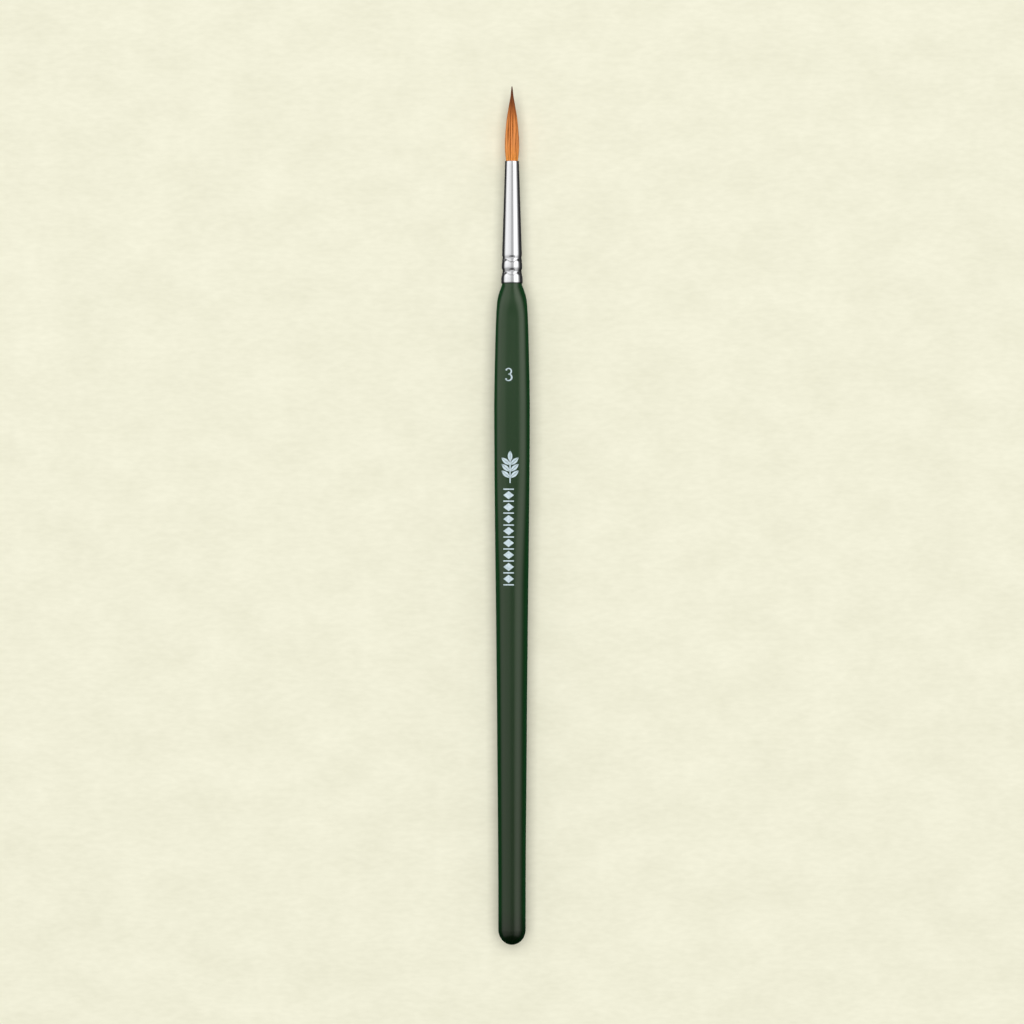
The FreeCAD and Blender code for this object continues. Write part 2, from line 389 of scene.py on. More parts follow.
def make_lacquer():
    """A very dark film under a glossy skin, with painted shade over the tail, nearly black at the
    butt, and a painted rim light of brighter green at the edges.
    """
    material, tree, shader = finish("green_lacquer", IOR=1.6, Specular_Tint=(1.0, 1.0, 0.88, 1.0))
    spot = add(tree, "ShaderNodeTexCoord").outputs["Object"]
    along = add(tree, "ShaderNodeSeparateXYZ", {"Vector": spot}).outputs["Y"]
    drift = grained(tree, 90.0, (1.0, 0.35, 1.0), 4.0)
    # painted shade: the film darkens over the tail towards the butt, with a random drift in tone
    shade_and_drift = stretch(tree, along, *TAIL_SHADE_OVER, 0.0, 0.85)
    shade_and_drift = calculate(tree, "ADD", shade_and_drift, stretch(tree, drift, 0.3, 0.7, 0.0, 0.15))
    film = between(tree, shade_and_drift, LACQUER_SHADED_TAIL, LACQUER_GRIP)
    # painted rim light: towards the edges the film is mixed to a brighter green
    away = add(tree, "ShaderNodeLayerWeight", {"Blend": 0.5}).outputs["Facing"]
    film = between(tree, stretch(tree, away, 0.25, 0.95, 0.0, 1.0), film, LACQUER_RIM_LIGHT)
    # painted shade: nearly black over the last few millimetres at the butt
    butt_shade = stretch(tree, along, *BUTT_SHADE_OVER, BUTT_SHADE_LEVEL, 1.0)
    peel = grained(tree, 1400.0, (1.0, 0.7, 1.0), 2.0)
    haze = grained(tree, 420.0, (1.0, 0.25, 1.0), 5.0)
    nibs = specked(tree, 900.0, 0.10, 0.02)
    wire(
        tree, shader,
        Base_Color=between(tree, butt_shade, (0.0, 0.0, 0.0), film),
        Roughness=stretch(tree, haze, 0.3, 0.7, 0.19, 0.25),
        Normal=raised(tree, nibs, 0.00001, raised(tree, peel, 0.000004)),
    )
    return material


LACQUER = make_lacquer()

# %% [markdown]
# ## The shape of the handle
# The handle is turned from birch and then profiled, so that three soft flats meet the
# thumb and two fingers. Seen from the end, the section of the grip is a circle whose
# radius falls and rises three times round. The tail and the neck are plain round, and
# the flats fade into them. One formula gives all of it, and it also tells the stamped
# marks how high to sit.

# %% Handle outline
HALF_WIDTHS = [
    (3.2, 2.87), (8.0, 2.875), (13.0, 2.88), (22.0, 2.93), (32.0, 3.015), (42.0, 3.09),
    (52.0, 3.175), (62.0, 3.275), (72.0, 3.38), (82.0, 3.51), (92.5, 3.615), (102.5, 3.70),
    (112.5, 3.735), (120.0, 3.64), (125.0, 3.53), (130.0, 3.39), (132.7, 3.27), (134.6, 3.13),
    (135.9, 2.92), (136.9, 2.63), (137.7, 2.34), (138.2, 2.14), (138.7, 2.04), (139.4, 2.04),
]
DOME_LENGTH = HALF_WIDTHS[0][0]
LOBE = 0.10
LOBE_STARTS, LOBE_FULL = 72.0, 104.0
LOBE_FADES, LOBE_ENDS = 131.0, 137.7


def spread(lobe):
    """Half width of a section of mean radius 1: the furthest it reaches to one side."""
    turn = np.linspace(0, np.pi / 2, 181)
    reach = (1 - lobe[..., None] * np.cos(3 * turn)) * np.sin(turn)
    return reach.max(axis=-1)


def handle_radius(station, turn):
    """Mean radius times 1 less lobe times cosine of three turns, under a domed end."""
    station, turn = np.broadcast_arrays(station, turn)
    rise = eased((station - LOBE_STARTS) / (LOBE_FULL - LOBE_STARTS))
    fall = eased((LOBE_ENDS - station) / (LOBE_ENDS - LOBE_FADES))
    lobe = LOBE * rise * fall
    sizes = np.linspace(0, LOBE, 21)
    mean = flowing(HALF_WIDTHS, station) / np.interp(lobe, sizes, spread(sizes))
    into_dome = np.clip(1 - station / DOME_LENGTH, 0, 1)
    dome = np.sqrt(1 - into_dome**2)
    return mean * dome * (1 - lobe * np.cos(3 * turn))


face, ridge = handle_radius(112.5, np.array([0, np.pi]))
print(f"grip: {face:.2f} mm from the line to the printed face, {ridge:.2f} mm to the ridge behind")

# %% [markdown]
# ### The coat as a shell
# A dipped coat is a skin about a tenth of a millimetre thick. A solid shape would look
# the same from outside, but the coat ends in a rim at the neck, so it is made as a real
# shell: along the outside to the neck, and back inside one coat thinner.

# %% Lacquer shell
DOME_ROWS, BODY_ROWS, NECK_ROWS, ROUND = 26, 110, 70, 144
INNER_STEP = 4
COAT = 0.10
SHOULDER = 128.0


def handle_stations():
    """Rows that crowd at the dome's pole and at the neck, where the outline turns most."""
    dome = DOME_LENGTH * (1 - np.cos(np.linspace(0, np.pi / 2, DOME_ROWS)))
    body = np.linspace(DOME_LENGTH, SHOULDER, BODY_ROWS)[1:]
    neck = np.linspace(SHOULDER, NECK_END, NECK_ROWS)[1:]
    return np.concatenate([dome, body, neck])[:, None]


def make_lacquer_shell():
    """The outer skin from the dome's pole to the neck, then back inside, one coat thinner."""
    station, turn = handle_stations(), turns(ROUND)
    outer = around(handle_radius(station, turn), station, turn)
    back = station[::-INNER_STEP]
    inside = back * (1 - COAT / NECK_END) + COAT
    thinner = np.maximum(handle_radius(back, turn) - COAT, 0)
    inner = around(thinner, np.minimum(inside, NECK_END), turn)
    return skin("lacquer_shell", np.concatenate([outer, inner]), caps=False)


lacquer_shell = make_lacquer_shell()
lacquer_shell.data.materials.append(LACQUER)
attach(lacquer_shell, "handle")
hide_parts("lacquer_coat")

# %% [markdown]
# ## The ferrule's metal
# A ferrule is drawn from brass tube, tapered, polished and nickel plated. Drawing leaves
# the finest lines along it and handling leaves soft smears. The crimps and the rear rim
# are painted darker, as painted shade in those recesses, and a few pits darken it too.
# The lines and smears live in the roughness, with only a trace of height, so they show
# as a change in how sharp the reflections are.

# %% Nickel
# painted shade: the darker colour, for the crimps and the rear rim, is also that of the pits
NICKEL_CLEAN, NICKEL_SHADE_AND_PITS = (0.80, 0.80, 0.81), (0.30, 0.29, 0.28)


def make_nickel():
    """Polished metal: drawn lines and smears in the roughness; painted shade in the crimps and at
    the rear rim, and pits, in the colour.
    """
    material, tree, shader = finish("nickel_plate", Metallic=1.0)
    lines = grained(tree, 5200.0, (1.0, 0.03, 1.0), 4.0)
    smears = grained(tree, 260.0, (1.0, 0.4, 1.0), 5.0)
    pits = specked(tree, 2600.0, 0.22, 0.05)
    # painted shade kept at the tube's points: darker in the crimps and at the rear rim
    recess_shade = add(tree, "ShaderNodeAttribute", attribute_name="recess_shade").outputs["Fac"]
    patchy_shade = calculate(tree, "MULTIPLY", recess_shade, stretch(tree, smears, 0.3, 0.6, 0.35, 1.0))
    # worn holds the pits and also the painted shade of the crimps and rear rim
    worn = calculate(tree, "MAXIMUM", patchy_shade, calculate(tree, "MULTIPLY", pits, 0.35))
    smeared = stretch(tree, smears, 0.3, 0.7, 0.06, 0.15)
    shine = calculate(tree, "MULTIPLY_ADD", lines, 0.10, smeared)
    wire(
        tree, shader,
        Base_Color=between(tree, worn, NICKEL_CLEAN, NICKEL_SHADE_AND_PITS),
        Roughness=calculate(tree, "MULTIPLY_ADD", patchy_shade, 0.25, shine),
        Normal=raised(tree, lines, 0.0000009),
    )
    return material


NICKEL = make_nickel()

# %% [markdown]
# ## The ferrule
# The tube is one closed surface: out round the rear rim, along the taper, over the mouth
# and back down the bore. Two rings of dents hold it on the wood. Each ring is pressed by
# four jaws at once, which leave a row of lenses: a fold sags under each, its top has the
# short, steep bite of the jaw's corner, and a small pinch lies between each two. The
# steep walls that face the handle catch the dark end of the studio.

# %% Ferrule outline and crimps
WALL = 0.20
TAPER_FROM, TAPER_RADIUS, MOUTH_RADIUS = 144.9, 2.065, 1.45
CRIMPS = [(143.7, 0.085), (141.0, 0.185)]
JAWS = 4
ROLL_WIDTH = 0.60
CREASE_DOWN, CREASE_SAG, CREASE_HALF, CREASE_DEPTH = 0.18, 0.48, 0.12, 0.066
NICK_UP, NICK_WALL, NICK_FLOOR, NICK_HALF, NICK_DEPTH = 0.60, 0.28, 0.40, 0.21, 0.125
PINCH_DOWN, PINCH_HALF, PINCH_DEPTH = 0.24, 0.18, 0.06
EDGE_TURN, EDGE_WIDTH = 0.09, 0.30


def taper(station):
    """The straight line of the tube before it is crimped."""
    slope = (MOUTH_RADIUS - TAPER_RADIUS) / (MOUTH - TAPER_FROM)
    return TAPER_RADIUS + slope * (station - TAPER_FROM)


def crease(station, turn, centre):
    """The thin fold under a lens: it sags towards the handle at the middle of each jaw."""
    sag = CREASE_SAG * np.cos(turn * JAWS / 2) ** 2
    return hump((station - centre + CREASE_DOWN + sag) / CREASE_HALF)


def nick(station, turn, centre):
    """The bite of a jaw's corner, at the middle of a lens: steep towards the hair."""
    middle = np.cos(turn * JAWS / 2)
    across = hump((np.sin(turn * JAWS / 2) * 2 / JAWS / NICK_HALF) ** 2) * middle**2
    up = station - centre - NICK_UP
    return across * eased(0.5 - up / NICK_WALL) * eased(1 + (up + NICK_WALL / 2) / NICK_FLOOR)


def pinch(station, turn, centre):
    """The small fold that is left where two jaws meet."""
    beside = np.sin(turn * JAWS / 2) ** 24
    return beside * hump((station - centre + PINCH_DOWN) / PINCH_HALF)


def ferrule_radius(station, turn):
    """The taper, less a soft roll and three marks at each ring, turned in at the rear."""
    radius = taper(station) - EDGE_TURN * eased(1 - (station - REAR_RIM) / EDGE_WIDTH)
    for centre, depth in CRIMPS:
        radius = radius - depth * hump((station - centre) / ROLL_WIDTH)
        radius = radius - CREASE_DEPTH * crease(station, turn, centre)
        radius = radius - NICK_DEPTH * nick(station, turn, centre)
        radius = radius - PINCH_DEPTH * pinch(station, turn, centre)
    return radius


for centre, _ in CRIMPS:
    print(f"crimp at {centre}: radius {float(ferrule_radius(centre, np.pi / JAWS)):.2f} mm")

# %% [markdown]
# ### The tube as a mesh
# The marks of the jaws are small and sharp, so bump alone would leave the outline
# smooth. The rows crowd where the tube is crimped, and a value of painted shade for the
# marks and the rear rim is kept at each point for the finish to read.

# %% Ferrule mesh
FERRULE_ROUND = 224
RIM_ROWS = 9
CRIMPED_TO = TAPER_FROM + 0.6


def make_ferrule():
    """Rows that go once round the wall; each row is a station and a share of the wall."""
    rim = np.linspace(-np.pi / 2, np.pi / 2, RIM_ROWS)
    half = WALL / 2
    rear = (REAR_RIM + half - half * np.cos(rim), 0.5 + 0.5 * np.sin(rim))
    crimped = np.linspace(REAR_RIM + half, CRIMPED_TO, 150)[1:]
    plain = np.linspace(CRIMPED_TO, MOUTH - half, 26)[1:-1]
    outside = np.concatenate([crimped, plain])
    mouth = (MOUTH - half + half * np.cos(rim), 0.5 - 0.5 * np.sin(rim))
    inside = outside[::-3]
    station = np.concatenate([rear[0], outside, mouth[0], inside])[:, None]
    share = np.concatenate([rear[1], np.ones(len(outside)), mouth[1], np.zeros(len(inside))])
    turn = turns(FERRULE_ROUND)
    radius = ferrule_radius(station, turn) - WALL * (1 - share[:, None])
    marks = sum(crease(station, turn, c) + nick(station, turn, c) for c, _ in CRIMPS)
    # painted shade: a darkening in the jaws' marks and at the rear rim, which the finish reads
    recess_shade = np.clip(0.35 * marks + 0.5 * hump((station - REAR_RIM) / 0.25), 0, 1)
    points = around(radius, station, turn)
    return skin("ferrule_tube", points, loop=True, values={"recess_shade": recess_shade})


ferrule_tube = make_ferrule()
ferrule_tube.data.materials.append(NICKEL)
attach(ferrule_tube, "handle")
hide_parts("ferrule")

# %% [markdown]
# ## The hair
# The hair is dressed so that its natural tips make the point: nobody cuts it. Each hair
# has a thick belly and a fine, darker tip, and hairs cling together in locks. A few
# hundred tapered tubes give the broken outline and the streaks. Their roots are close
# together at the ferrule, and a heart inside stops light coming through; the heart is
# given the darkest hair colour, as painted shade inside the tuft.
# Each tube has its own tone, which the colour reads.

# %% Hair colours
HAIR_LIGHT = [
    (0.00, (0.95, 0.37, 0.070)), (0.20, (0.96, 0.39, 0.115)), (0.52, (0.92, 0.355, 0.095)),
    (0.63, (0.70, 0.235, 0.055)), (0.74, (0.38, 0.115, 0.022)), (0.86, (0.18, 0.048, 0.010)),
    (1.00, (0.08, 0.022, 0.006)),
]
HAIR_DARK = [
    (0.00, (0.40, 0.120, 0.012)), (0.30, (0.36, 0.096, 0.012)), (0.52, (0.34, 0.084, 0.010)),
    (0.66, (0.24, 0.056, 0.008)), (0.80, (0.12, 0.028, 0.006)), (1.00, (0.04, 0.012, 0.004)),
]


def make_hair():
    """Light and dark hair mixed by tone, each darkening towards the tip."""
    material, tree, shader = finish("hair", IOR=1.5, Specular_IOR_Level=0.35)
    along = add(tree, "ShaderNodeAttribute", attribute_name="along").outputs["Fac"]
    tone = add(tree, "ShaderNodeAttribute", attribute_name="tone").outputs["Fac"]
    wander = grained(tree, 700.0, (1.0, 0.25, 1.0), 3.0)
    shifted = calculate(tree, "ADD", along, stretch(tree, wander, 0.2, 0.8, -0.05, 0.05))
    streaks = grained(tree, 9000.0, (1.0, 0.02, 1.0), 2.0)
    mixed = calculate(tree, "ADD", tone, stretch(tree, streaks, 0.3, 0.7, -0.15, 0.15))
    colour = between(tree, mixed, ramp(tree, shifted, HAIR_DARK), ramp(tree, shifted, HAIR_LIGHT))
    wire(
        tree, shader,
        Base_Color=colour,
        Roughness=stretch(tree, streaks, 0.3, 0.7, 0.38, 0.52),
        Normal=raised(tree, streaks, 0.000002),
    )
    return material


HAIR = make_hair()

# %% [markdown]
# ### The outline of the tuft
# A wetted and dried round brush swells just ahead of the ferrule and then draws to a
# point. The outline is kept apart from the hairs, so that layers at different depths
# can share it. A few gaps between locks are listed, as they fall by chance.

# %% The tuft's outline and where it bends
TUFT = [
    (162.0, 1.28), (164.3, 1.23), (164.7, 1.28), (165.8, 1.41), (167.5, 1.49), (169.4, 1.43),
    (171.3, 1.29), (173.2, 1.09), (174.4, 0.91), (175.7, 0.69), (177.0, 0.47), (178.0, 0.30),
    (179.0, 0.21), (179.7, 0.13), (180.0, 0.09),
]
STRANDS_FROM = MOUTH - 1.2
HEART_TO = TIP - 0.2
PARTING = 169.6
BELLY_BENDS, POINT_BENDS = (MOUTH, 169.3), (169.9, 175.7)
LAYERS = [(1.0, 170), (0.91, 140), (0.81, 110)]
HAIR_RADIUS, HAIR_THINS = 0.046, 0.72
HAIR_SIDES = 5
HEART_SHARE = 0.84
LOCKS, FINE_LOCKS = 11, 34
GAPS = [
    (-0.22, 168.6, 3.2), (0.13, 171.8, 2.6), (0.55, 167.4, 2.2), (-0.62, 170.6, 2.4),
    (1.2, 169.5, 3.0), (2.0, 170.0, 2.6), (2.9, 168.5, 3.0), (-1.3, 169.0, 2.8), (-2.2, 170.2, 2.6),
]
GAP_HALF, GAP_REACH = 0.13, 0.16


def tuft_radius(station):
    """Radius of the whole tuft at a station."""
    return flowing(TUFT, station)


along_tuft = np.linspace(MOUTH, TIP, 200)
print(f"widest across the tuft: {2 * tuft_radius(along_tuft).max():.2f} mm")

# %% [markdown]
# ### The strands
# Hair curves would be lighter to store, but they can't bend with the two bodies or be
# handed over as a mesh. Each hair is a five-sided tube instead. Every strand is one row
# of numbers, and one formula lays all of them along the outline at once.

# %% One bundle of strands
def draw_strands():
    """The random part of each strand: its depth, turn, tone, end and waviness."""
    random = np.random.default_rng(11)
    depth, start = [], []
    for layer, count in LAYERS:
        depth.append(layer + random.normal(0, 0.012, count))
        start.append((np.arange(count) + random.uniform(-0.35, 0.35, count)) * FULL_TURN / count)
    depth, start = np.concatenate(depth), np.concatenate(start)
    count = len(depth)
    lock = np.floor(start * FINE_LOCKS / FULL_TURN).astype(int) % FINE_LOCKS
    lock_tone = random.uniform(0.15, 1.05, FINE_LOCKS)
    return {
        "depth": depth[:, None],
        "start": start[:, None],
        "end": (TIP - 9.0 * random.beta(0.8, 2.6, count))[:, None],
        "wave": random.uniform(0, FULL_TURN, (count, 1)),
        "pull": random.uniform(0.1, 0.75, (count, 1)),
        "thick": random.uniform(0.8, 1.15, (count, 1)),
        "tone": (lock_tone[lock] + random.normal(0, 0.18, count))[:, None],
    }


def strand_tubes(strands, station):
    """Tubes along the brush, one row of points at each station of each strand.

    A strand keeps its share of the tuft's radius. Its turn waves a little, and is
    drawn towards the middle of its lock as it nears its end, where it thins out. At a
    gap, the hairs on each side are pushed apart.
    """
    gone = np.clip((station - STRANDS_FROM) / (strands["end"] - STRANDS_FROM), 0, 1)
    thick = HAIR_RADIUS * strands["thick"] * (1 - HAIR_THINS * gone**2.2)
    outline = tuft_radius(station)
    lock = np.round(strands["start"] * LOCKS / FULL_TURN) * FULL_TURN / LOCKS
    sway = 0.035 * np.sin(station * 0.9 + strands["wave"]) / np.maximum(outline, 0.3)
    turn = strands["start"] + sway + strands["pull"] * gone**1.5 * (lock - strands["start"])
    for where, middle, half in GAPS:
        aside = (turn - where + np.pi) % FULL_TURN - np.pi
        open_here = GAP_HALF * hump((station - middle) / half)
        turn = turn + np.sign(aside) * open_here * np.exp(-abs(aside) / GAP_REACH)
    reach = np.maximum(strands["depth"] * outline - thick, 0.25 * thick)
    side = turns(HAIR_SIDES)
    across = (reach * np.sin(turn))[..., None] + thick[..., None] * np.sin(side)
    up = (reach * np.cos(turn))[..., None] + thick[..., None] * np.cos(side)
    return place(across, station[..., None], up)


def tuft_share(station):
    """0 at the ferrule's mouth and 1 at the tip."""
    return (station - MOUTH) / (TIP - MOUTH)


def make_strands(name, strands, station):
    """One object for a half of all the strands, with each point's place and tone."""
    values = {"along": tuft_share(station)[..., None], "tone": strands["tone"][..., None]}
    piece = skin(name, strand_tubes(strands, station), values=values)
    piece.data.materials.append(HAIR)
    return piece


def make_heart(name, station):
    """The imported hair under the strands: a fluted, slightly thinner tuft."""
    turn = turns(120)
    station = station[:, None]
    flutes = 1 + 0.02 * np.cos(40 * turn) + 0.015 * np.cos(23 * turn + station)
    points = around(HEART_SHARE * tuft_radius(station) * flutes, station, turn)
    # painted shade: the heart takes the darkest hair tone, for the shade deep in the tuft
    values = {"along": tuft_share(station), "tone": np.full((1, 1), 0.12)}
    piece = skin(name, points, values=values)
    piece.data.materials.append(HAIR)
    return piece


# %% [markdown]
# ### Two halves
# The same strands are cut at one station into a near and a far half, and the cut ends
# stay together.

# %% Belly and point
strands = draw_strands()
belly_stations = np.linspace(STRANDS_FROM, PARTING, 12)[None, :]
point_share = np.linspace(0, 1, 18)[None, :]
point_stations = PARTING + point_share * (strands["end"] - PARTING)
everywhere = np.zeros_like(strands["start"])

belly_strands = make_strands("belly_strands", strands, belly_stations + everywhere)
belly_heart = make_heart("belly_heart", np.linspace(STRANDS_FROM, PARTING, 16))
point_strands = make_strands("point_strands", strands, point_stations)
point_heart = make_heart("point_heart", np.linspace(PARTING, HEART_TO, 24))

# %% [markdown]
# ## The two halves in place
# On paper the tuft curves from its root, with no crease. The model turns it about two
# places, so the strands are parted between them. Here each half only has its placement
# baked into its points.

# %% Bake the two halves
def bend(piece, stations):
    """Bakes a piece's placement into its points; the stations give two points that are not used."""
    start, end = (place(0.0, s, 0.0) for s in stations)
    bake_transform(piece)


for piece in (belly_strands, belly_heart):
    bend(piece, BELLY_BENDS)
for piece in (point_strands, point_heart):
    bend(piece, POINT_BENDS)
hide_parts("hair_belly")
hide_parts("hair_tip")
print("belly bends over stations", BELLY_BENDS, "and point over", POINT_BENDS)

# %% [markdown]
# ## The root of the hair
# Inside the ferrule the bundle runs back to the thread and the resin. Nobody sees it,
# but it is what holds the tuft, so it keeps its waist under the thread.

# %% Root
ROOT = [(149.6, 1.32), (151.6, 1.19), (153.6, 1.30), (156.0, 1.38), (158.5, 1.40), (163.2, 1.26)]


def make_root():
    """A fluted bundle from its cut end to just short of the mouth."""
    station = np.linspace(ROOT[0][0], ROOT[-1][0], 40)[:, None]
    turn = turns(120)
    flutes = 1 - 0.012 + 0.012 * np.cos(60 * turn)
    points = around(flowing(ROOT, station) * flutes, station, turn)
    values = {"along": np.zeros((1, 1)), "tone": 0.4 + 0.3 * np.cos(13 * turn)}
    piece = skin("hair_root", points, values=values)
    piece.data.materials.append(HAIR)
    return piece


hair_root = make_root()
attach(hair_root, "handle")
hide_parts("hair_base")

# %% [markdown]
# ## The stamped marks
# The marks are pressed on with hot foil: a pale film a few hundredths of a millimetre
# thick, crisp at its edges and a little worn. They are drawn flat and then laid on the
# printed face, which the handle's own formula gives. Each shape is a small plate with a
# top, an underside and edges.

# %% Foil
FOIL_BRIGHT, FOIL_DULL = (0.68, 0.80, 0.86), (0.48, 0.59, 0.64)


def make_foil():
    """Mottled pale foil that has worn through to the lacquer in small spots."""
    material, tree, shader = finish("pale_foil", Metallic=0.25, IOR=1.5)
    mottle = grained(tree, 1500.0, (1.0, 1.0, 1.0), 4.0)
    wear = specked(tree, 5200.0, 0.35, 0.10)
    colour = between(tree, stretch(tree, mottle, 0.3, 0.7, 0.0, 1.0), FOIL_DULL, FOIL_BRIGHT)
    wire(
        tree, shader,
        Base_Color=between(tree, wear, colour, LACQUER_GRIP),
        Roughness=stretch(tree, mottle, 0.3, 0.7, 0.34, 0.50),
        Normal=raised(tree, mottle, 0.000002),
    )
    return material


FOIL = make_foil()
FOIL_THICK, FOIL_SUNK = 0.030, 0.020
FACE_RADIUS, TURN_STEPS = 3.5, 8


def on_face(across, station, lift):
    """The point of the handle's skin above a flat place, lifted off it.

    The turn of a point is found by repeating turn = arc sine of across over radius.
    """
    turn = np.arcsin(across / FACE_RADIUS)
    for _ in range(TURN_STEPS):
        turn = np.arcsin(across / handle_radius(station, turn))
    return around(handle_radius(station, turn) + lift, station, turn)


def plate(across, station):
    """A closed plate over a grid of flat places: its top, then its underside backwards."""
    top = on_face(across, station, FOIL_THICK)
    under = on_face(across[:, ::-1], station[:, ::-1], -FOIL_SUNK)
    return np.concatenate([top, under], axis=1)


def straight(v):
    """An outline of even width."""
    return np.ones_like(v)


def pointed(v):
    """An outline that narrows to a point at each end."""
    return np.maximum(1 - abs(v), 0.01)


def rounded(v):
    """A round outline."""
    return np.sqrt(np.maximum(1 - v * v, 0.0001))


def patch(x, station, half_across, half_along, outline, rows=25, columns=9):
    """A plate whose half width at v, from -1 to 1 along the brush, is outline(v)."""
    v = np.linspace(-1, 1, rows)[:, None]
    u = np.linspace(-1, 1, columns)[None, :]
    return plate(x + half_across * outline(v) * u, station + half_along * v + 0 * u)


def stamp(name, plates, node):
    """One mark from plates that share a number of rows and columns."""
    piece = skin(name, np.stack(plates))
    piece.data.materials.append(FOIL)
    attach(piece, "handle")
    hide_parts(node)
    return piece


# %% [markdown]
# ### The numeral
# A plain three: two crescents, thick on the right, with a round terminal at each end.
# A crescent lies between a circle and a smaller one moved to the left, so its points
# are found by going round the bowl and out from the inner circle to the outer one.

# %% Numeral
SIZE_AT = (-0.69, 119.5)
UPPER_BOWL, UPPER_RADIUS, UPPER_TURNS, UPPER_END = 0.66, 0.70, (-98, 150), (-0.66, 0.48)
LOWER_BOWL, LOWER_RADIUS, LOWER_TURNS, LOWER_END = -0.60, 0.80, (-156, 98), (-0.68, -0.46)
COUNTER, COUNTER_SHIFT = 0.72, 0.13
TERMINAL_RADIUS = 0.19
BOWL_ROWS = 49


def bowl(x, station, radius, turned, end):
    """Half of the three: out from the inner circle, moved left, to the outer; and its end."""
    turn = np.radians(np.linspace(*turned, BOWL_ROWS))[:, None]
    inner = np.sqrt(COUNTER**2 - (COUNTER_SHIFT * np.sin(turn)) ** 2)
    inner = inner - COUNTER_SHIFT * np.cos(turn)
    out = radius * (inner + (1 - inner) * np.linspace(0, 1, 9)[None, :])
    crescent = plate(x + out * np.cos(turn), station + out * np.sin(turn))
    end_x, end_station = x + end[0] * radius, station + end[1] * radius
    disc = patch(end_x, end_station, TERMINAL_RADIUS, TERMINAL_RADIUS, rounded, rows=BOWL_ROWS)
    return [crescent, disc]


def make_numeral():
    """Two bowls, one above the other."""
    x, middle = SIZE_AT
    upper = bowl(x, middle + UPPER_BOWL, UPPER_RADIUS, UPPER_TURNS, UPPER_END)
    lower = bowl(x, middle + LOWER_BOWL, LOWER_RADIUS, LOWER_TURNS, LOWER_END)
    return stamp("size_numeral", upper + lower, "size_mark")


make_numeral()

# %% [markdown]
# ### The sprig and the border
# A sprig of leaves stands where a maker puts a badge, and a border of lozenges and bars
# runs down the handle from it. Both are ornament only. Each leaf is two halves with a
# fine gap for its midrib.

# %% Sprig
SPRIG_AT = (-0.4, 100.2)
STEM_LENGTH, STEM_HALF, STEM_INTO_LEAF = 6.8, 0.12, 0.34
LEAF_LENGTH, LEAF_HALF, MIDRIB = 2.4, 0.475, 0.035
LEAF_PAIRS, LEAF_SPREAD = 3, np.radians(48)
LEAF_FIRST, LEAF_PITCH = 1.025, 1.35


def half_leaf(x, base, lean, side):
    """From the midrib out to an edge that bulges as the sine of the way along the leaf."""
    along = np.linspace(0, 1, 25)[:, None]
    out = np.linspace(0, 1, 5)[None, :]
    width = MIDRIB + out * np.maximum(LEAF_HALF * np.sin(np.pi * along) - MIDRIB, 0.01)
    length = LEAF_LENGTH * along + 0 * out
    across = x + length * np.sin(lean) + side * width * np.cos(lean)
    station = base + length * np.cos(lean) - side * width * np.sin(lean)
    return plate(across, station)


def make_sprig():
    """A stem, a leaf at its top and pairs of leaves that lean out to each side."""
    x, middle = SPRIG_AT
    foot = middle - STEM_LENGTH / 2
    stem = (STEM_LENGTH - LEAF_LENGTH + STEM_INTO_LEAF) / 2
    plates = [patch(x, foot + stem, STEM_HALF, stem, straight, columns=5)]
    leans = [(foot + STEM_LENGTH - LEAF_LENGTH, 0.0)]
    for i in range(LEAF_PAIRS):
        base = foot + LEAF_FIRST + i * LEAF_PITCH
        leans += [(base, -LEAF_SPREAD), (base, LEAF_SPREAD)]
    for base, lean in leans:
        plates += [half_leaf(x, base, lean, side) for side in (-1, 1)]
    return stamp("sprig", plates, "leaf_mark")


make_sprig()

# %% [markdown]
# ### The border
# The border repeats one unit, a lozenge between two bars, so a loop makes it.

# %% Border
BORDER_FROM, BORDER_TO = 75.5, 95.5
BORDER_X, BORDER_HALF = -0.7, 1.10
BORDER_UNITS, BAR_HALF, LOZENGE_SHARE = 8, 0.13, 0.34


def make_border():
    """A lozenge in each unit and a bar at each unit's ends."""
    pitch = (BORDER_TO - BORDER_FROM) / BORDER_UNITS
    plates = []
    for i in range(BORDER_UNITS):
        middle = BORDER_FROM + (i + 0.5) * pitch
        plates.append(patch(BORDER_X, middle, BORDER_HALF, LOZENGE_SHARE * pitch, pointed))
    for i in range(BORDER_UNITS + 1):
        plates.append(patch(BORDER_X, BORDER_FROM + i * pitch, BORDER_HALF, BAR_HALF, straight))
    return stamp("border", plates, "border_mark")


make_border()

# %% [markdown]
# ## What is inside
# The wood, the primer under the lacquer, the glue round the tenon, the resin and the
# thread keep the shapes that the design gives them. They need only finishes: long grain
# in the birch, a chalky primer, bubbles in the glue and the resin, and twisted plies in
# the thread.

# %% Finishes for the inner pieces
def make_birch():
    """Long rings and fine dark pores."""
    material, tree, shader = finish("birch")
    rings = grained(tree, 700.0, (1.0, 0.02, 1.0), 4.0)
    pores = specked(tree, 2400.0, 0.25, 0.12)
    late = stretch(tree, rings, 0.3, 0.7, 0.0, 1.0)
    wood = between(tree, late, (0.62, 0.42, 0.22), (0.78, 0.60, 0.37))
    wire(
        tree, shader,
        Base_Color=between(tree, pores, wood, (0.34, 0.20, 0.09)),
        Roughness=stretch(tree, rings, 0.3, 0.7, 0.55, 0.72),
        Normal=raised(tree, rings, 0.00001),
    )
    return material


def make_primer():
    """Chalky, with a fine tooth."""
    material, tree, shader = finish("primer")
    chalk = grained(tree, 2600.0)
    wire(
        tree, shader,
        Base_Color=between(tree, chalk, (0.70, 0.69, 0.63), (0.84, 0.83, 0.78)),
        Roughness=stretch(tree, chalk, 0.3, 0.7, 0.75, 0.9),
        Normal=raised(tree, chalk, 0.000006),
    )
    return material


